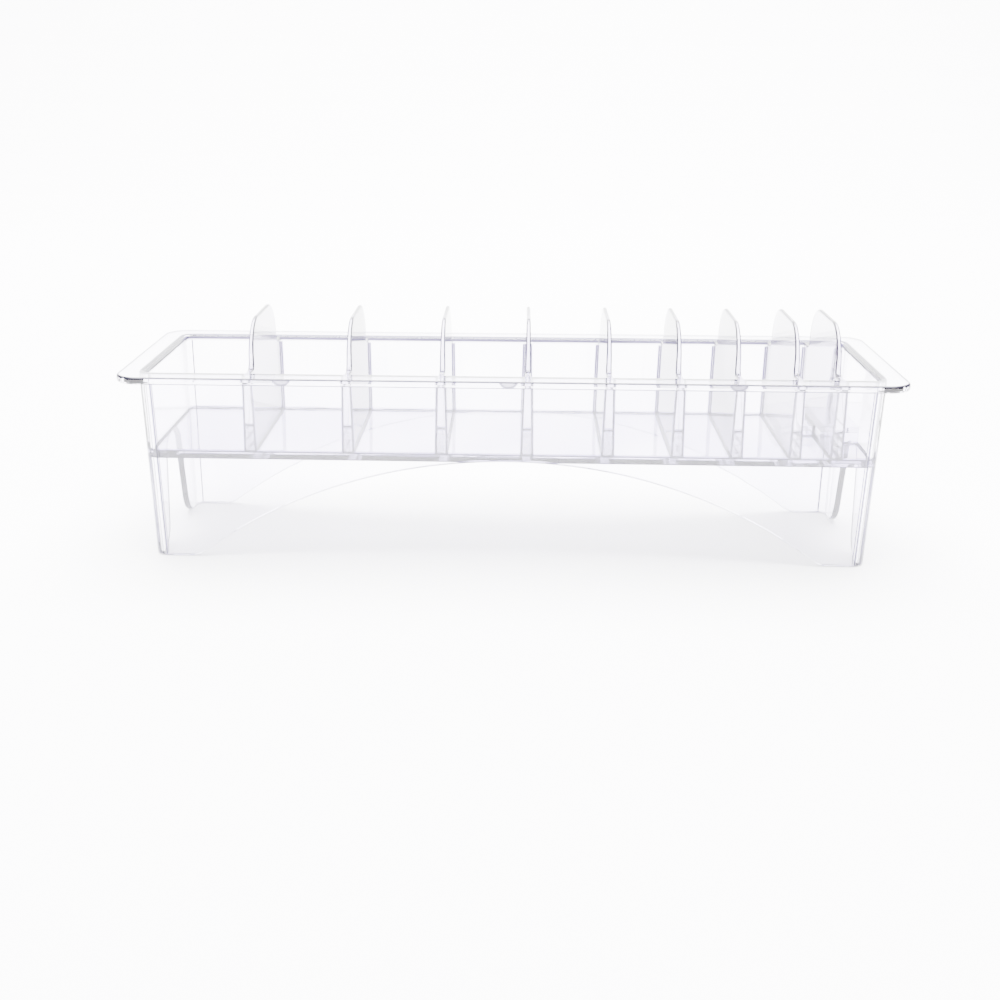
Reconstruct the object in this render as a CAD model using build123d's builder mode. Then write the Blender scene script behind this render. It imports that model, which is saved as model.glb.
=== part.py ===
from build123d import *
import math
import os

# A clear plastic rack that stores ten clipper guard combs on edge. A shallow tray with a flat rim all
# round stands on four corner legs, and nine upright dividers split it into ten slots that get narrower
# from left to right. X runs along the rack, Y from front to rear, and Z is up from the table. The origin
# is under the middle of the rack. Sizes are in millimetres.

# The rim, measured over its outer edges, and its height above the table.
rim_length = 225.0
rim_width = 70.0
rim_height = 56.6
rim_thickness = 2.1
rim_corner_radius = 7.0
end_overhang = 5.6
side_overhang = 6.4
lip_radius = 1.7

# The walls lean outwards from the feet to the underside of the rim, which is their moulding draft.
wall_thickness = 2.0
wall_corner_radius = 4.0
end_wall_lean = 1.3
side_wall_lean = 2.3

# The floor of the tray.
floor_height = 32.7
floor_thickness = 2.1

# The arches between the legs. Both rise just past the underside of the floor.
arch_overlap = 0.4
arch_tip_height = 0.3
side_arch_half_span = 93.0
side_arch_foot_radius = 7.0
end_arch_foot_half_width = 14.0
end_arch_crown_half_width = 9.0
end_arch_crown_drop = 5.0
end_arch_foot_radius = 8.0

# The slots from left to right, measured clear at the floor, and the dividers between them.
slot_widths = (27.9, 26.1, 24.6, 22.2, 20.7, 17.4, 14.4, 14.1, 9.2, 8.8)
divider_root_thickness = 2.6
divider_top_thickness = 1.2
ear_rise = 13.2
ear_half_width = 19.5
ear_corner_radius = 10.5
ear_root_radius = 1.8
shoulder_drop = 0.5

# The two narrowest slots have a raised seat at the rear: its front edge in Y, and its rise from the floor.
seat_front = {9: 0.4, 10: -8.0}
seat_rise = {9: 3.1, 10: 5.0}
seat_thickness = 1.8

# Part-round gate marks in the front edge of the rim, one in the middle and one each side. Each is a disc's
# lower part: its centre lies gate_rise above the rim.
gate_radius = 2.5
gate_rise = 0.7
gate_depth = 0.4
gate_spacing = 64.0

# Where the straight walls end and the corner pieces begin, measured in from the wall's outer face.
corner_reach = 5.0

# Values worked out from the sizes above.
rim_underside = rim_height - rim_thickness
ear_height = rim_height + ear_rise
floor_underside = floor_height - floor_thickness
end_lean_rate = end_wall_lean / rim_underside
side_lean_rate = side_wall_lean / rim_underside
foot_half_length = rim_length / 2 - end_overhang - end_wall_lean
foot_half_width = rim_width / 2 - side_overhang - side_wall_lean
straight_half_length = foot_half_length - corner_reach
straight_half_width = foot_half_width - corner_reach
arch_height = floor_underside + arch_overlap
beyond = rim_length


def outer_half_length(z):
    """Half the length over the end walls at a height."""
    return foot_half_length + z * end_lean_rate


def outer_half_width(z):
    """Half the width over the side walls at a height."""
    return foot_half_width + z * side_lean_rate


def inner_half_length(z):
    """Half the clear length between the end walls at a height."""
    return outer_half_length(z) - wall_thickness


def inner_half_width(z):
    """Half the clear width between the side walls at a height."""
    return outer_half_width(z) - wall_thickness


def leaning_body(inset, low, high):
    """A solid rounded block that follows the leaning walls, set in from their outer faces."""
    with BuildPart() as body:
        for z in (low, high):
            with BuildSketch(Plane.XY.offset(z)):
                RectangleRounded(
                    2 * (outer_half_length(z) - inset),
                    2 * (outer_half_width(z) - inset),
                    wall_corner_radius - inset,
                )
        loft(ruled=True)
    return body.part


def region(x_range, y_range, z_range):
    """A box between two corners, which picks out one section of the moulding."""
    with BuildPart() as box:
        with BuildSketch(Plane.XY.offset(z_range[0])):
            with Locations((sum(x_range) / 2, sum(y_range) / 2)):
                Rectangle(x_range[1] - x_range[0], y_range[1] - y_range[0])
        extrude(amount=z_range[1] - z_range[0])
    return box.part


def tray_shell():
    """The walls and the rim as one closed ring, with the gate marks and the rounded lip."""
    with BuildPart() as ring:
        add(leaning_body(0, 0, rim_underside))
        with BuildSketch(Plane.XY.offset(rim_underside)):
            RectangleRounded(rim_length, rim_width, rim_corner_radius)
        extrude(amount=rim_thickness)
        add(leaning_body(wall_thickness, 0, rim_height), mode=Mode.SUBTRACT)
        top = ring.faces().sort_by(Axis.Z)[-1]
        fillet(top.inner_wires()[0].edges(), radius=lip_radius)
        with BuildSketch(Plane.XZ.offset(rim_width / 2)):
            with Locations(*[(x, rim_height + gate_rise) for x in (-gate_spacing, 0, gate_spacing)]):
                Circle(gate_radius)
        extrude(amount=-gate_depth, mode=Mode.SUBTRACT)
    return ring.part


def side_arch():
    """The wide flat arch under the front and the rear, cut right through from front to rear."""
    with BuildPart() as cut:
        with BuildSketch(Plane.XZ) as outline:
            with BuildLine():
                Polyline(
                    (-side_arch_half_span, 0),
                    (-beyond, 0),
                    (-beyond, -rim_height),
                    (beyond, -rim_height),
                    (beyond, 0),
                    (side_arch_half_span, 0),
                )
                ThreePointArc((side_arch_half_span, 0), (0, arch_height), (-side_arch_half_span, 0))
            make_face()
            springing = [v for v in outline.vertices() if abs(abs(v.X) - side_arch_half_span) < 0.01]
            fillet(springing, radius=side_arch_foot_radius)
        extrude(amount=beyond, both=True)
    return cut.part


def end_arch():
    """The narrow arch under each end, cut right through from end to end."""
    spring_height = arch_height - end_arch_crown_drop
    with BuildPart() as cut:
        with BuildSketch(Plane.YZ) as outline:
            with BuildLine():
                Polyline(
                    (-end_arch_crown_half_width, spring_height),
                    (-end_arch_foot_half_width, 0),
                    (-beyond, 0),
                    (-beyond, -rim_height),
                    (beyond, -rim_height),
                    (beyond, 0),
                    (end_arch_foot_half_width, 0),
                    (end_arch_crown_half_width, spring_height),
                )
                ThreePointArc(
                    (end_arch_crown_half_width, spring_height),
                    (0, arch_height),
                    (-end_arch_crown_half_width, spring_height),
                )
            make_face()
            springing = [v for v in outline.vertices() if abs(abs(v.Y) - end_arch_foot_half_width) < 0.01]
            fillet(springing, radius=end_arch_foot_radius)
        extrude(amount=beyond, both=True)
    return cut.part


def section_of(solid, x_range, y_range, z_range):
    """The part of the moulding inside one region."""
    with BuildPart() as piece:
        add(solid)
        add(region(x_range, y_range, z_range), mode=Mode.INTERSECT)
    return piece.part


def finish(piece, name):
    """Label a finished piece and write its file."""
    piece.label = name
    export_step(piece, f"parts/{name}.step")


os.makedirs("parts", exist_ok=True)
shell = tray_shell()
above_floor = (floor_underside, rim_height)
below_floor = (0, floor_underside)

# The long walls, front and rear: wall and rim in one section between the corners.
for name, side in (("front_wall", -1), ("rear_wall", 1)):
    with BuildPart() as side_wall:
        reach = sorted((side * straight_half_width, side * rim_width))
        add(section_of(shell, (-straight_half_length, straight_half_length), reach, above_floor))
    finish(side_wall.part, name)

# The end walls, left and right: wall and rim in one section between the corners.
for name, side in (("left_end_wall", -1), ("right_end_wall", 1)):
    with BuildPart() as end_wall:
        reach = sorted((side * straight_half_length, side * rim_length))
        add(section_of(shell, reach, (-straight_half_width, straight_half_width), above_floor))
    finish(end_wall.part, name)

# The four rounded corners of the tray and its rim.
corners = {"front_left": (-1, -1), "front_right": (1, -1), "rear_left": (-1, 1), "rear_right": (1, 1)}
for place, (x_side, y_side) in corners.items():
    with BuildPart() as corner:
        x_reach = sorted((x_side * straight_half_length, x_side * rim_length))
        y_reach = sorted((y_side * straight_half_width, y_side * rim_width))
        add(section_of(shell, x_reach, y_reach, above_floor))
    finish(corner.part, f"tray_corner_{place}")

# The four corner legs: the wall carried on down to the table, cut away by both arches. Each leg tapers to
# a thin tip under the crown of an arch, and stops where the tip is arch_tip_height deep.
tip_drop = arch_overlap + arch_tip_height


def tip_reach(half_span, rise):
    """How far a tip starts from the middle of an arch of this half span and rise."""
    radius = (half_span**2 + rise**2) / (2 * rise)
    return math.sqrt(2 * radius * tip_drop - tip_drop**2)


side_tip = tip_reach(side_arch_half_span, arch_height)
end_tip = tip_reach(end_arch_crown_half_width, end_arch_crown_drop)
with BuildPart() as skirt:
    add(section_of(shell, (-rim_length, rim_length), (-rim_width, rim_width), below_floor))
    add(side_arch(), mode=Mode.SUBTRACT)
    add(end_arch(), mode=Mode.SUBTRACT)
for place, (x_side, y_side) in corners.items():
    with BuildPart() as leg:
        x_reach = sorted((x_side * side_tip, x_side * rim_length))
        y_reach = sorted((y_side * end_tip, y_side * rim_width))
        add(section_of(skirt.part, x_reach, y_reach, below_floor))
    finish(leg.part, f"leg_{place}")

# The dividers' middles and each slot's clear span at the floor. The slots share the clear length.
clear_length = 2 * inner_half_length(floor_height) - divider_root_thickness * (len(slot_widths) - 1)
slot_fit = clear_length / sum(slot_widths)
slot_spans = []
slot_start = -inner_half_length(floor_height)
for width in slot_widths:
    slot_spans.append((slot_start, slot_start + width * slot_fit))
    slot_start += width * slot_fit + divider_root_thickness
divider_positions = [span[1] + divider_root_thickness / 2 for span in slot_spans[:-1]]

# The floor: it fills the tray between the walls, and is cut away under the two raised seats.
with BuildPart() as floor:
    add(leaning_body(wall_thickness, floor_underside, floor_height))
    for slot, front in seat_front.items():
        x_start, x_end = slot_spans[slot - 1]
        beyond_wall = x_end + (wall_thickness if slot == len(slot_widths) else 0)
        hole = region((x_start, beyond_wall), (front, rim_width), above_floor)
        add(hole, mode=Mode.SUBTRACT)
finish(floor.part, "floor")

# The dividers: upright plates, thinner towards the top, that fill the tray from wall to wall. Above the
# rim each one narrows through a small root radius to a round-cornered ear.
shoulder_height = rim_height - shoulder_drop
tray_space = leaning_body(wall_thickness / 2, floor_height, ear_height)
for number, x in enumerate(divider_positions, start=1):
    with BuildPart() as divider:
        add(tray_space)
        with BuildSketch(Plane.XZ):
            with BuildLine():
                Polyline(
                    (x - divider_root_thickness / 2, floor_height),
                    (x + divider_root_thickness / 2, floor_height),
                    (x + divider_top_thickness / 2, ear_height),
                    (x - divider_top_thickness / 2, ear_height),
                    (x - divider_root_thickness / 2, floor_height),
                )
            make_face()
        extrude(amount=rim_width, both=True, mode=Mode.INTERSECT)
        with BuildSketch(Plane.YZ.offset(x)) as outline:
            with Locations((0, (floor_height + shoulder_height) / 2)):
                Rectangle(rim_width, shoulder_height - floor_height)
            with Locations((0, (floor_height + ear_height) / 2)):
                RectangleRounded(2 * ear_half_width, ear_height - floor_height, ear_corner_radius)
            roots = [v for v in outline.vertices() if abs(v.Z - shoulder_height) < 0.01]
            fillet([v for v in roots if abs(v.Y) < ear_half_width + 0.01], radius=ear_root_radius)
        extrude(amount=divider_root_thickness, both=True, mode=Mode.INTERSECT)
        add(shell, mode=Mode.SUBTRACT)
    finish(divider.part, f"divider_{number}")

# The raised seats: a thin step, open underneath, between a divider and its neighbour.
divider_lean_rate = (divider_root_thickness - divider_top_thickness) / 2 / (ear_height - floor_height)
for slot, front in seat_front.items():
    x_start, x_end = slot_spans[slot - 1]
    seat_height = floor_height + seat_rise[slot]
    last = slot == len(slot_widths)
    end_rate = end_lean_rate if last else divider_lean_rate
    with BuildPart() as seat:
        add(leaning_body(wall_thickness, floor_underside, seat_height))
        with BuildSketch(Plane.XZ):
            with BuildLine():
                Polyline(
                    (x_start, floor_underside),
                    (x_start, floor_height),
                    (x_start - seat_rise[slot] * divider_lean_rate, seat_height),
                    (x_end + seat_rise[slot] * end_rate, seat_height),
                    (x_end, floor_height),
                    (x_end - (floor_thickness * end_lean_rate if last else 0), floor_underside),
                    (x_start, floor_underside),
                )
            make_face()
        extrude(amount=rim_width, both=True, mode=Mode.INTERSECT)
        add(region((-rim_length, rim_length), (front, rim_width), (0, rim_height)), mode=Mode.INTERSECT)
        hollow_top = seat_height - seat_thickness
        behind_riser = (front + seat_thickness, rim_width)
        hollow = region((-rim_length, rim_length), behind_riser, (0, hollow_top))
        add(hollow, mode=Mode.SUBTRACT)
    finish(seat.part, f"raised_seat_{slot}")
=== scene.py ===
import math

import bmesh
import bpy
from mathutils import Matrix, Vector


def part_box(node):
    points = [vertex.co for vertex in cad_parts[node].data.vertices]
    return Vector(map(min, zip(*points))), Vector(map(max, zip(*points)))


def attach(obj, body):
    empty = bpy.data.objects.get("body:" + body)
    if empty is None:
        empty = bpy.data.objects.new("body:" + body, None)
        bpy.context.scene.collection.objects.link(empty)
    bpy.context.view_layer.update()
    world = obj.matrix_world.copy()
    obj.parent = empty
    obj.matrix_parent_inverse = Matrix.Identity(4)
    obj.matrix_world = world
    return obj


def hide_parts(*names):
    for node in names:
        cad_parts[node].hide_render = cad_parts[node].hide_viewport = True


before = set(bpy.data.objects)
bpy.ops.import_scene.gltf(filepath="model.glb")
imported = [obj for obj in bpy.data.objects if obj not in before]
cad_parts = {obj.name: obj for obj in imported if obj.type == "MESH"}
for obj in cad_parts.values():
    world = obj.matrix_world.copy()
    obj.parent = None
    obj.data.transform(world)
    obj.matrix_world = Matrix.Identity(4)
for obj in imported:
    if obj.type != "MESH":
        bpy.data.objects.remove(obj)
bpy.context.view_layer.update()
MM = 1000.0

# ---- The walls, rim and legs ----
# The outer shell of the rack: one thin leaning wall all round, with a flat rim turned out at the top and
# four corner legs left standing between the arches. Crystal polystyrene, injection moulded in one shot.


def node_box(name):
    """The corners of a CAD node's box, in millimetres."""
    low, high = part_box(name)
    return low * MM, high * MM


rim_high = node_box("front_wall")[1]
floor_low, floor_high = node_box("floor")
corner_low, corner_high = node_box("tray_corner_front_right")
RIM_X, RIM_Y, RIM_TOP = corner_high.x, -corner_low.y, rim_high.z
FLOOR_TOP, FLOOR_UNDER = floor_high.z, floor_low.z
RIM_THICK, RIM_CORNER, RIM_EDGE = 2.1, 7.0, 0.6
WALL, WALL_CORNER, LIP = 2.0, 4.0, 1.7
END_OVERHANG, SIDE_OVERHANG = 5.6, 6.4
END_LEAN, SIDE_LEAN = 1.3, 2.3
RIM_UNDER = RIM_TOP - RIM_THICK
SOLE_EDGE, FOOT_LIFT = 0.45, 0.05
TURN_STEPS, RIM_STEPS, LIP_STEPS = 12, 4, 8


def outer(z):
    """Half the length and half the width over the walls at a height."""
    below = (RIM_UNDER - z) / RIM_UNDER
    return RIM_X - END_OVERHANG - END_LEAN * below, RIM_Y - SIDE_OVERHANG - SIDE_LEAN * below


def inner(z):
    """Half the clear length and half the clear width between the walls at a height."""
    half_x, half_y = outer(z)
    return half_x - WALL, half_y - WALL


def arc(centre, radius, start, end, steps):
    """Points along an arc, with angles in degrees from the first axis."""
    angles = [math.radians(start + (end - start) * i / steps) for i in range(steps + 1)]
    return [(centre[0] + radius * math.cos(a), centre[1] + radius * math.sin(a)) for a in angles]


SIDE_SPAN, SIDE_FOOT = 93.0, 7.0
CROWN = FLOOR_UNDER + 0.4
END_SPAN, END_CROWN, END_DROP, END_FOOT = 14.0, 9.0, 5.0, 8.0


def side_arch():
    """The side arch from the sole of a leg up to the crown, as distances from the middle and heights."""
    radius = (SIDE_SPAN**2 + CROWN**2) / (2 * CROWN)
    centre = CROWN - radius
    foot = math.sqrt((radius + SIDE_FOOT) ** 2 - (SIDE_FOOT - centre) ** 2)
    lean = math.degrees(math.atan2(SIDE_FOOT - centre, foot))
    sole = arc((foot, SIDE_FOOT), SIDE_FOOT, 270, 180 + lean, 10)
    return sole + arc((0, centre), radius, lean, 90, 44)[1:]


def end_arch():
    """The end arch in the same form: a rounded foot, a steep straight side and a round crown."""
    radius = (END_CROWN**2 + END_DROP**2) / (2 * END_DROP)
    spring = CROWN - END_DROP
    slope = math.atan2(END_SPAN - END_CROWN, spring)
    foot = END_SPAN - END_FOOT * math.tan(slope) + END_FOOT / math.cos(slope)
    sole = arc((foot, END_FOOT), END_FOOT, 270, 180 + math.degrees(slope), 14)
    start = math.degrees(math.asin((spring - (CROWN - radius)) / radius))
    return sole + arc((0, CROWN - radius), radius, start, 90, 12)


def station_line(arch, half, count):
    """Stops along one wall: a share of the half length, and the height of the wall's lower edge there."""
    pad = [(half + (arch[0][0] - half) * i / count, 0.0) for i in range(count)]
    one_side = [(d / half, max(z, 0.0)) for d, z in pad + arch]
    return one_side + [(-d, z) for d, z in reversed(one_side[:-1])]


def stations():
    """Stops round the rack: multipliers for the corner centres, the direction out, and the lower edge."""
    half_x, half_y = outer(FLOOR_UNDER)
    side = station_line(side_arch(), half_x - WALL_CORNER, 4)
    end = station_line(end_arch(), half_y - WALL_CORNER, 2)
    turn = [math.radians(90 * i / TURN_STEPS) for i in range(1, TURN_STEPS)]
    ring = [(-d, -1.0, 0.0, -1.0, z) for d, z in side]
    ring += [(1.0, -1.0, math.sin(a), -math.cos(a), 0.0) for a in turn]
    ring += [(1.0, -d, 1.0, 0.0, z) for d, z in end]
    ring += [(1.0, 1.0, math.cos(a), math.sin(a), 0.0) for a in turn]
    ring += [(d, 1.0, 0.0, 1.0, z) for d, z in side]
    ring += [(-1.0, 1.0, -math.sin(a), math.cos(a), 0.0) for a in turn]
    ring += [(-1.0, d, -1.0, 0.0, z) for d, z in end]
    ring += [(-1.0, -1.0, -math.cos(a), -math.sin(a), 0.0) for a in turn]
    return ring


def wall_section(bottom):
    """The wall and rim in section, as (half length, half width, corner radius, height), outside first."""
    low = max(bottom, FOOT_LIFT)
    section = [(*outer(z), WALL_CORNER, z) for z in (low + SOLE_EDGE, RIM_UNDER)]
    for centre, start in ((RIM_UNDER + RIM_EDGE, 270), (RIM_TOP - RIM_EDGE, 360)):
        for step in range(RIM_STEPS + 1):
            a = math.radians(start + 90 * step / RIM_STEPS)
            back = RIM_EDGE * (1 - math.cos(a))
            section.append((RIM_X - back, RIM_Y - back, RIM_CORNER - back, centre + RIM_EDGE * math.sin(a)))
    lip_z = RIM_TOP - LIP
    lip_x, lip_y = inner(lip_z)
    for step in range(LIP_STEPS + 1):
        a = math.radians(90 + 88 * step / LIP_STEPS)
        out = LIP * (1 + math.cos(a))
        section.append((lip_x + out, lip_y + out, WALL_CORNER - WALL + out, lip_z + LIP * math.sin(a)))
    for (half_x, half_y), radius, way, order in (
        (inner(low), WALL_CORNER - WALL, 1, (0, 1, 2, 3)),
        (outer(low), WALL_CORNER, -1, (3, 2, 1)),
    ):
        for step in order:
            a = math.radians(30 * step)
            move = way * SOLE_EDGE * (1 - math.cos(a))
            section.append((half_x + move, half_y + move, radius + move, low + SOLE_EDGE * (1 - math.sin(a))))
    return section


def place(stop, point):
    """A point of the section set at one stop round the rack."""
    along_x, along_y, out_x, out_y, _ = stop
    half_x, half_y, radius, z = point
    return along_x * (half_x - radius) + radius * out_x, along_y * (half_y - radius) + radius * out_y, z


def piece(name, points, faces, nodes, materials, painted_faces):
    """A mesh in millimetres made into a piece that stands for some CAD nodes.

    Its faces are turned outwards, and the listed faces take the second material, which paints dark lines and
    a faint glow on them.
    """
    mesh = bpy.data.meshes.new(name)
    mesh.from_pydata([tuple(c / MM for c in p) for p in points], [], faces)
    form = bmesh.new()
    form.from_mesh(mesh)
    bmesh.ops.recalc_face_normals(form, faces=form.faces[:])
    form.to_mesh(mesh)
    form.free()
    for material in materials:
        mesh.materials.append(material)
    for index in painted_faces:
        mesh.polygons[index].material_index = 1
    mesh.update()
    obj = bpy.data.objects.new(name, mesh)
    bpy.context.scene.collection.objects.link(obj)
    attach(obj, "root")
    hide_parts(*nodes)
    return obj


def lofted(rings, closed):
    """Faces between rings of equal length, joined end to end when closed and capped when open."""
    count, size = len(rings), len(rings[0])
    points = [p for ring in rings for p in ring]
    faces = []
    for i in range(count if closed else count - 1):
        j = (i + 1) % count
        for k in range(size):
            m = (k + 1) % size
            faces.append((i * size + k, j * size + k, j * size + m, i * size + m))
    if not closed:
        faces += [tuple(range(size)), tuple(reversed(range((count - 1) * size, count * size)))]
    return points, faces


class Wire:
    """A shader socket that takes part in arithmetic."""

    def __init__(self, net, socket):
        self.net, self.socket = net, socket

    def _maths(self, operation, a, b=0.0, c=0.0):
        return self.net.add("ShaderNodeMath", {"operation": operation}, {0: a, 1: b, 2: c})

    def __add__(self, other):
        return self._maths("ADD", self, other)

    def __sub__(self, other):
        return self._maths("SUBTRACT", self, other)

    def __rsub__(self, other):
        return self._maths("SUBTRACT", other, self)

    def __mul__(self, other):
        return self._maths("MULTIPLY", self, other)

    def __pow__(self, other):
        return self._maths("POWER", self, other)

    def __lt__(self, other):
        return self._maths("LESS_THAN", self, other)

    def __gt__(self, other):
        return self._maths("GREATER_THAN", self, other)

    def __abs__(self):
        return self._maths("ABSOLUTE", self)

    __radd__ = __add__
    __rmul__ = __mul__


class Net:
    """The node tree of a new material."""

    def __init__(self, name):
        self.material = bpy.data.materials.new(name)
        self.material.use_nodes = True
        self.tree = self.material.node_tree
        self.shader = self.tree.nodes["Principled BSDF"]

    def add(self, kind, settings, sockets, output=0):
        """Any node: its settings, then its sockets."""
        node = self.tree.nodes.new(kind)
        for key, value in settings.items():
            setattr(node, key, value)
        self.feed(node, sockets)
        return Wire(self, node.outputs[output])

    def feed(self, node, sockets):
        """Set or link sockets of a node."""
        for key, value in sockets.items():
            if isinstance(value, Wire):
                self.tree.links.new(value.socket, node.inputs[key])
            else:
                node.inputs[key].default_value = value

    def position(self):
        """The point being shaded, in millimetres, in the object's own frame."""
        where = self.add("ShaderNodeTexCoord", {}, {}, "Object")
        return self.add("ShaderNodeVectorMath", {"operation": "SCALE"}, {0: where, "Scale": MM})

    def axes(self, where):
        """The three coordinates of a point."""
        split = self.add("ShaderNodeSeparateXYZ", {}, {0: where})
        outputs = split.socket.node.outputs
        return [Wire(self, outputs[i]) for i in range(3)]

    def noise(self, where, scale, detail=2.0):
        """Smooth noise between 0 and 1."""
        return self.add("ShaderNodeTexNoise", {}, {"Vector": where, "Scale": scale, "Detail": detail})

    def stretched(self, where, along):
        """The point with its axes scaled, so that a noise runs out along one of them."""
        return self.add("ShaderNodeVectorMath", {"operation": "MULTIPLY"}, {0: where, 1: along})

    def blend(self, share, one, other):
        """A colour between two others."""
        return self.add("ShaderNodeMix", {"data_type": "RGBA"}, {"Factor": share, "A": one, "B": other}, 2)

    def ramp(self, value, low, high, to_low=0.0, to_high=1.0):
        """A clamped linear change from one range to another."""
        return self.add("ShaderNodeMapRange", {}, {0: value, 1: low, 2: high, 3: to_low, 4: to_high})


GATE_SPACING, GATE_RADIUS, GATE_RISE, GATE_LINE = 64.0, 2.5, 0.7, 0.32
# The edge glow colour is a painted glow for the edge faces.
GATE_TINT, PAINTED_EDGE_GLOW, REFRACTION = (0.2, 0.18, 0.28, 1.0), (0.7, 0.63, 0.97, 1.0), 1.55


def clear_plastic(name, flow, dark, light, painted_glow=0.0, gates=False):
    """Crystal polystyrene: clear, with faint flow waves along one direction, light scuffs and specks.

    The tint lies between two colours. A painted glow can be laid on the surface, standing in for the light
    that the sheet pipes to an edge.
    """
    net = Net(name)
    where = net.position()
    x, y, z = net.axes(where)
    waves = net.noise(net.stretched(where, flow), 0.16, 3.0)
    scuffs = net.ramp(net.noise(net.stretched(where, (0.5, 2.0, 1.2)), 0.9, 5.0), 0.62, 0.8)
    specks = net.ramp(net.noise(where, 1.7, 1.0), 0.76, 0.8)
    haze = net.noise(where, 0.045, 2.0)
    rough = 0.004 + scuffs * 0.03 + specks * 0.12 + haze * 0.012
    height = waves * 0.6 + scuffs * 0.02
    if gates:
        drop = RIM_TOP + GATE_RISE - z
        mark = 0.0
        for side in (-1, 0, 1):
            across = x - side * GATE_SPACING
            reach = (across * across + drop * drop) ** 0.5
            outline = abs(reach - GATE_RADIUS) < GATE_LINE
            mark = mark + (outline + (reach < GATE_RADIUS) * 0.8) * (y < 0.4 - RIM_Y)
        rough = rough + mark * 0.6
        height = height + mark * 0.8
    bump = net.add("ShaderNodeBump", {}, {"Strength": 0.12, "Distance": 0.0002, "Height": height})
    tone = net.ramp(haze, 0.3, 0.7)
    tint = net.blend(tone, (*dark, 1.0), (*light, 1.0))
    if gates:
        tint = net.blend(net.ramp(mark, 0.0, 1.0, 0.0, 0.9), tint, GATE_TINT)
    net.feed(
        net.shader,
        {
            "Base Color": tint,
            "Roughness": rough,
            "Normal": bump,
            "Transmission Weight": 1.0,
            "IOR": REFRACTION,
            # Painted glow: emission on plastic that is no lamp.
            "Emission Color": PAINTED_EDGE_GLOW,
            "Emission Strength": painted_glow,
        },
    )
    return net.material


SHELL_TINTS = (0.87, 0.855, 0.93), (0.94, 0.93, 0.97)
# The edge material is painted light: a near-black tint that paints dark lines where the clear edges would
# refract the dim surround, and a faint painted glow.
PAINTED_LINE_TINTS = (0.004, 0.003, 0.012), (0.015, 0.012, 0.035)
shell_plastic = clear_plastic("shell_plastic", (0.25, 1.0, 1.4), *SHELL_TINTS, gates=True)
painted_line_plastic = clear_plastic("painted_line_plastic", (1.0, 1.0, 1.0), *PAINTED_LINE_TINTS, painted_glow=0.22)
ring = stations()
sections = [[place(stop, p) for p in wall_section(stop[4])] for stop in ring]
points, faces = lofted(sections, closed=True)
# Faces by their place in the section: the wall, the rim's two edges, the lip, the inside wall and the sole.
OUTER_WALL, RIM_EDGES, LIP_LINES = 0, (2, 3, 8, 9), (12, 13, 14, 16, 17, 18)
INNER_WALL, SOLE_LINES = 20, (22, 23, 24, 25, 26)
CORNER_LINE = (0.1, 0.2)
# The listed faces take painted dark lines: the rim's two edges, the lip, the sole, and the outer and inside
# wall at the first and last stop of each corner turn.
painted_line_faces = []
for i, stop in enumerate(ring):
    painted_line_faces += [i * len(sections[0]) + k for k in RIM_EDGES + LIP_LINES + SOLE_LINES]
    turned = min(abs(stop[2]), abs(stop[3]))
    if CORNER_LINE[0] < turned < CORNER_LINE[1]:
        painted_line_faces += [i * len(sections[0]) + k for k in (OUTER_WALL, INNER_WALL)]
CORNERS = ("front_left", "front_right", "rear_left", "rear_right")
shell_nodes = ["front_wall", "rear_wall", "left_end_wall", "right_end_wall"]
shell_nodes += [f"{kind}_{place_name}" for kind in ("tray_corner", "leg") for place_name in CORNERS]
piece("shell", points, faces, shell_nodes, (shell_plastic, painted_line_plastic), painted_line_faces)

# ---- The floor and its raised seats ----
# A flat plate across the tray, with a step up at the rear of each of the two narrowest slots, so that the
# shortest combs stand high enough to reach. The same moulding: every edge runs a little into its neighbour.
JOIN, ROOT_FILLET, SEAT_THICK = 0.06, 0.7, 1.8
HAIR = 0.001


def prism(outline, low, high):
    """A flat outline in plan, drawn up between two heights."""
    return lofted([[(x, y, low) for x, y in outline], [(x, y, high) for x, y in outline]], closed=False)


def rounded(half_x, half_y, radius, x_side, y_side):
    """One rounded corner of a plate in plan, turning to the left."""
    start = {(1, 1): 0, (-1, 1): 90, (-1, -1): 180, (1, -1): 270}[(x_side, y_side)]
    return arc((x_side * (half_x - radius), y_side * (half_y - radius)), radius, start, start + 90, 6)


# The floor and seats are the same clear moulding as the shell, but their tint is darker: painted shade, with
# random tone between the two colours.
FLOOR_PAINTED_SHADE_TINTS = (0.62, 0.585, 0.75), (0.78, 0.75, 0.86)
painted_shade_floor_plastic = clear_plastic("painted_shade_floor_plastic", (0.3, 1.0, 1.0), *FLOOR_PAINTED_SHADE_TINTS)
plate_x, plate_y = (v + JOIN for v in inner(FLOOR_TOP))
seat_low, seat_high = node_box("raised_seat_9")
last_low, last_high = node_box("raised_seat_10")
inner_corner = WALL_CORNER - WALL
eighth_low, eighth_high = node_box("divider_8")
ninth_low, ninth_high = node_box("divider_9")
root_half = (ninth_high.x - ninth_low.x) / 2
middle_8, middle_9 = (eighth_low.x + eighth_high.x) / 2, (ninth_low.x + ninth_high.x) / 2
outline = rounded(plate_x, plate_y, inner_corner, -1, 1)
outline += rounded(plate_x, plate_y, inner_corner, -1, -1) + rounded(plate_x, plate_y, inner_corner, 1, -1)
outline += [(plate_x, last_low.y), (middle_9 + root_half, last_low.y), (middle_9 + root_half, plate_y)]
outline += [(middle_9 - root_half, plate_y), (middle_9 - root_half, seat_low.y)]
outline += [(middle_8 + root_half, seat_low.y), (middle_8 + root_half, plate_y)]


def inset(outline, by):
    """The outline drawn in by a distance, corner by corner."""
    made, count = [], len(outline)
    for i, (y, z) in enumerate(outline):
        before, after = outline[i - 1], outline[(i + 1) % count]
        one = Vector((y - before[0], z - before[1])).normalized()
        two = Vector((after[0] - y, after[1] - z)).normalized()
        normals = Vector((-one.y, one.x)), Vector((-two.y, two.x))
        share = max(1 + normals[0].dot(normals[1]), 0.5)
        move = (normals[0] + normals[1]) * (by / share)
        made.append((y + move.x, z + move.y))
    return made


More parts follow.
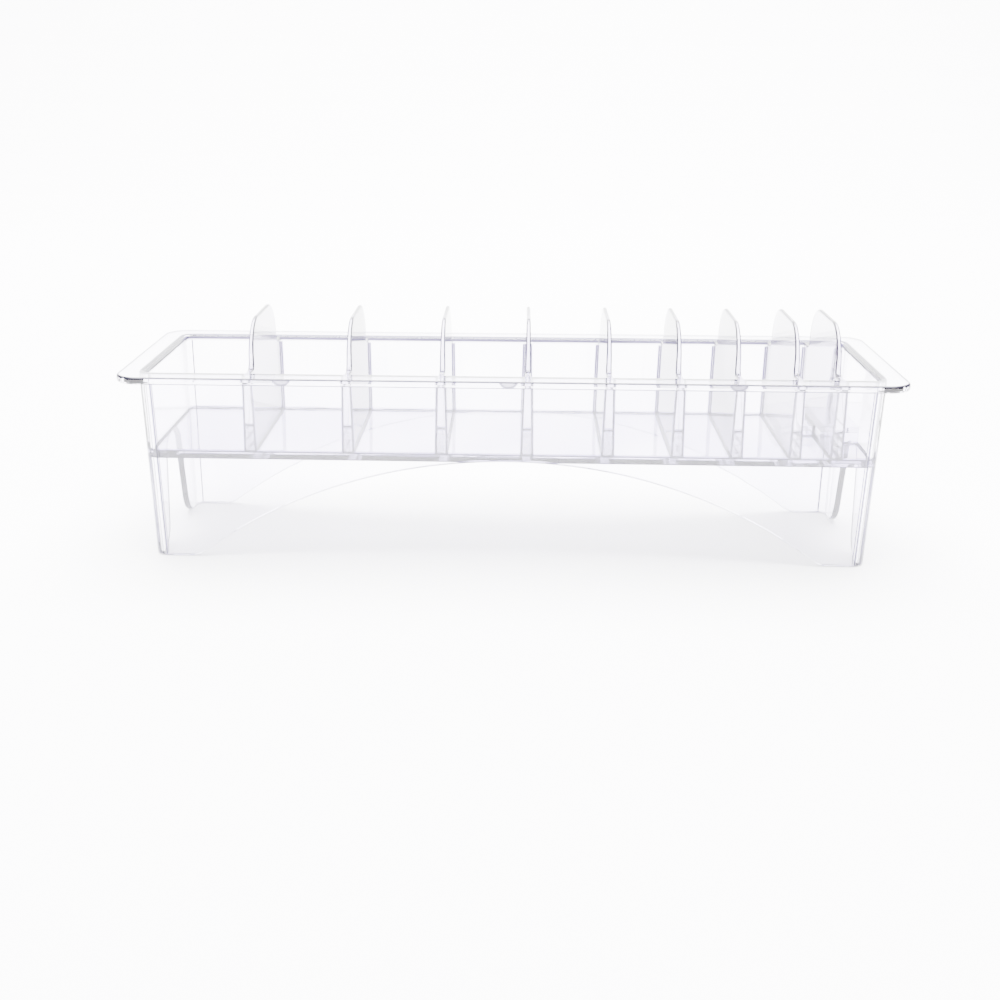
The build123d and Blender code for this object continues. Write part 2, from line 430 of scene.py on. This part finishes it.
# The plate's top curves up into the walls all round.
levels = FLOOR_UNDER, FLOOR_UNDER + 0.3, FLOOR_TOP - 0.1, FLOOR_TOP + 0.3
rings = [[(x, y, z) for x, y in outline] for z in levels]
curve = arc((ROOT_FILLET + JOIN, ROOT_FILLET), ROOT_FILLET, 180, 270, 6)
for across, up in [(0.0, ROOT_FILLET + JOIN)] + curve:
    rings.append([(x, y, FLOOR_TOP + up) for x, y in inset(outline, across + HAIR)])
points, faces = lofted(rings, closed=False)
# Painted dark lines run along the bottom and top borders of the plate's edge and along the middle of its root
# curve.
painted_border_faces = [i * len(outline) + k for i in (0, 2, 7, 8) for k in range(len(outline))]
piece("floor_plate", points, faces, ["floor"], (painted_shade_floor_plastic, painted_line_plastic), painted_border_faces)

for number, (low, high) in ((9, (seat_low, seat_high)), (10, (last_low, last_high))):
    left = (middle_8 if number == 9 else middle_9) + root_half - JOIN
    right = middle_9 - root_half + JOIN if number == 9 else plate_x
    step = [(low.y - JOIN, FLOOR_UNDER + JOIN), (low.y - JOIN, high.z)]
    step += [(plate_y, high.z), (plate_y, high.z - SEAT_THICK)]
    step += [(low.y + SEAT_THICK, high.z - SEAT_THICK), (low.y + SEAT_THICK, FLOOR_UNDER + JOIN)]
    points, faces = lofted([[(x, y, z) for y, z in step] for x in (right, left)], closed=False)
    piece(f"seat_{number}", points, faces, [f"raised_seat_{number}"], (painted_shade_floor_plastic, painted_line_plastic), [])

# ---- The dividers ----
# Nine upright plates of the same clear moulding, thicker at the root than at the top so that they leave the
# mould, each with a flat-topped ear above the rim. Their free edges are slightly rounded.
EAR_HALF, EAR_CORNER, EAR_ROOT, SHOULDER = 19.5, 10.5, 1.8, 0.5
ROOT_THICK, TIP_THICK, EDGE, SEAM = 2.6, 1.2, 0.5, 0.03
EDGE_TURN = (90, 70, 50, 30, 12)
EAR_TOP = node_box("divider_1")[1].z
SHOULDER_Z = RIM_TOP - SHOULDER - 0.01
STRIP_SIDES, STRIP_CURVE = 10, (2, 3, 4)


def half_thickness(z):
    """Half the thickness of a divider at a height."""
    up = (z - FLOOR_TOP) / (EAR_TOP - FLOOR_TOP)
    return (ROOT_THICK + (TIP_THICK - ROOT_THICK) * up) / 2


def divider_outline():
    """A divider seen along the rack, from the foot at the rear round by the ear to the foot at the front."""
    shoulder = RIM_TOP - SHOULDER
    lip_z = RIM_TOP - LIP
    foot_y, lip_y = inner(FLOOR_TOP)[1] + JOIN, inner(lip_z)[1]
    side = [(foot_y, FLOOR_TOP - JOIN), (lip_y + JOIN, lip_z)]
    for step in range(1, 6):
        a = math.radians(180 - 45 * step / 5)
        side.append((lip_y + LIP + LIP * math.cos(a) + JOIN, lip_z + LIP * math.sin(a)))
    side = [p for p in side if p[1] < shoulder] + [(side[-1][0], shoulder)]
    side += arc((EAR_HALF + EAR_ROOT, shoulder + EAR_ROOT), EAR_ROOT, 270, 180, 6)
    side += arc((EAR_HALF - EAR_CORNER, EAR_TOP - EAR_CORNER), EAR_CORNER, 0, 90, 14)
    return side + [(-y, z) for y, z in reversed(side)]


def root_path(number, side):
    """Where a divider meets the tray: down the front wall, over the floor or seat and up the rear wall."""
    top = RIM_TOP - LIP - 0.2
    front, back = -inner(FLOOR_TOP)[1], inner(FLOOR_TOP)[1]
    path = [(-inner(top)[1], top, 1, 0), (front, FLOOR_TOP, 1, 1)]
    wide_seat, last_seat = (seat_low.y, seat_high.z), (last_low.y, last_high.z)
    seats = {(8, 1): wide_seat, (9, -1): wide_seat, (9, 1): last_seat}
    if (number, side) in seats:
        riser, high = seats[(number, side)]
        path += [(riser, FLOOR_TOP, -1, 1), (riser, high, -1, 1), (back, high, -1, 1)]
    else:
        path += [(back, FLOOR_TOP, -1, 1)]
    return path + [(inner(top)[1], top, -1, 0)]


def root_strip(number, middle, side):
    """The small hollow curve moulded along that line, on one side of a divider."""
    curve = [(ROOT_FILLET, -JOIN)] + arc((ROOT_FILLET, ROOT_FILLET), ROOT_FILLET, 270, 180, 6)
    curve += [(-JOIN, ROOT_FILLET), (-JOIN, -JOIN)]
    rings = []
    for y, z, toward_y, toward_z in root_path(number, side):
        foot = half_thickness(z)
        rings.append([(middle + side * (foot + u), y + toward_y * v, z + toward_z * v) for u, v in curve])
    return lofted(rings, closed=False)


plate = divider_outline()
# The dividers are the same clear moulding as the shell, but their tint is darker: painted shade standing in
# for the grey that grazing reflections give them, with random tone between the two colours.
DIVIDER_PAINTED_SHADE_TINTS = (0.66, 0.635, 0.73), (0.78, 0.76, 0.83)
painted_shade_divider_plastic = clear_plastic("painted_shade_divider_plastic", (1.0, 0.35, 1.0), *DIVIDER_PAINTED_SHADE_TINTS)
for number in range(1, 10):
    low, high = node_box(f"divider_{number}")
    middle = (low.x + high.x) / 2
    rings = []
    for side in (1, -1):
        for angle in EDGE_TURN[::side]:
            a = math.radians(angle)
            free, joined = (inset(plate, size * (1 - math.cos(a)) + HAIR) for size in (EDGE, SEAM))
            ring_points = []
            for (_, height), free_point, joined_point in zip(plate, free, joined):
                (y, z), size = (free_point, EDGE) if height > SHOULDER_Z else (joined_point, SEAM)
                ring_points.append((middle + side * (half_thickness(z) - size * (1 - math.sin(a))), y, z))
            rings.append(ring_points)
    points, faces = lofted(rings, closed=False)
    # Painted dark lines on the rounding of the free edges above the shoulder and along the curve of each root
    # strip.
    painted_line_faces = [i * len(plate) + k for i in (1, 2, 3, 5, 6, 7) for k, p in enumerate(plate) if p[1] > SHOULDER_Z]
    for side in (-1, 1):
        more_points, more_faces = root_strip(number, middle, side)
        painted_line_faces += [len(faces) + i for i in range(len(more_faces) - 2) if i % STRIP_SIDES in STRIP_CURVE]
        faces += [tuple(len(points) + i for i in face) for face in more_faces]
        points += more_points
    materials = painted_shade_divider_plastic, painted_line_plastic
    piece(f"divider_plate_{number}", points, faces, [f"divider_{number}"], materials, painted_line_faces)

# ---- The studio ----
# A plain white sweep under and behind the rack, which glows a little so that it stays white, with a broad
# soft light overhead and a faint lilac surround.
PAPER_GLOW = 2.8


def sweep():
    """A strip of paper that lies flat and curves up at the back."""
    net = Net("paper")
    grain = net.noise(net.position(), 0.02, 3.0)
    shade = net.blend(grain, (0.93, 0.928, 0.94, 1.0), (0.95, 0.95, 0.955, 1.0))
    net.feed(net.shader, {"Base Color": shade, "Roughness": 0.9})
    net.feed(net.shader, {"Emission Color": (1.0, 1.0, 1.0, 1.0), "Emission Strength": PAPER_GLOW})
    path = [(-1100.0, 0.0), (700.0, 0.0)] + arc((700.0, 600.0), 600.0, 270, 360, 20) + [(1300.0, 1700.0)]
    points = [(side * (500.0 + 0.3 * y), y, z - 0.1) for y, z in path for side in (-1, 1)]
    faces = [(2 * i, 2 * i + 1, 2 * i + 3, 2 * i + 2) for i in range(len(path) - 1)]
    mesh = bpy.data.meshes.new("paper")
    mesh.from_pydata([tuple(c / MM for c in p) for p in points], [], faces)
    mesh.materials.append(net.material)
    obj = bpy.data.objects.new("paper", mesh)
    bpy.context.scene.collection.objects.link(obj)
    return obj


sweep()


lamp = bpy.data.lights.new("overhead", "AREA")
lamp.shape, lamp.size, lamp.energy = "SQUARE", 1.8, 330.0
overhead = bpy.data.objects.new("overhead", lamp)
overhead.location = (0.0, 0.25, 1.5)
bpy.context.scene.collection.objects.link(overhead)

world = bpy.data.worlds.new("studio")
bpy.context.scene.world = world
world.use_nodes = True
world.node_tree.nodes["Background"].inputs["Color"].default_value = (0.62, 0.57, 0.82, 1.0)
world.node_tree.nodes["Background"].inputs["Strength"].default_value = 0.4

# ---- The camera ----
# A normal lens a little above the rim, square to the front of the rack and slightly to its right.
lens = bpy.data.cameras.new("camera")
lens.lens, lens.sensor_width, lens.shift_x = 50.17, 36.0, 0.0443
camera = bpy.data.objects.new("camera", lens)
camera.location = (0.0028, -0.4151, 0.1465)
camera.rotation_euler = [math.radians(angle) for angle in (71.85, -0.07, 2.66)]
bpy.context.scene.collection.objects.link(camera)
bpy.context.scene.camera = camera
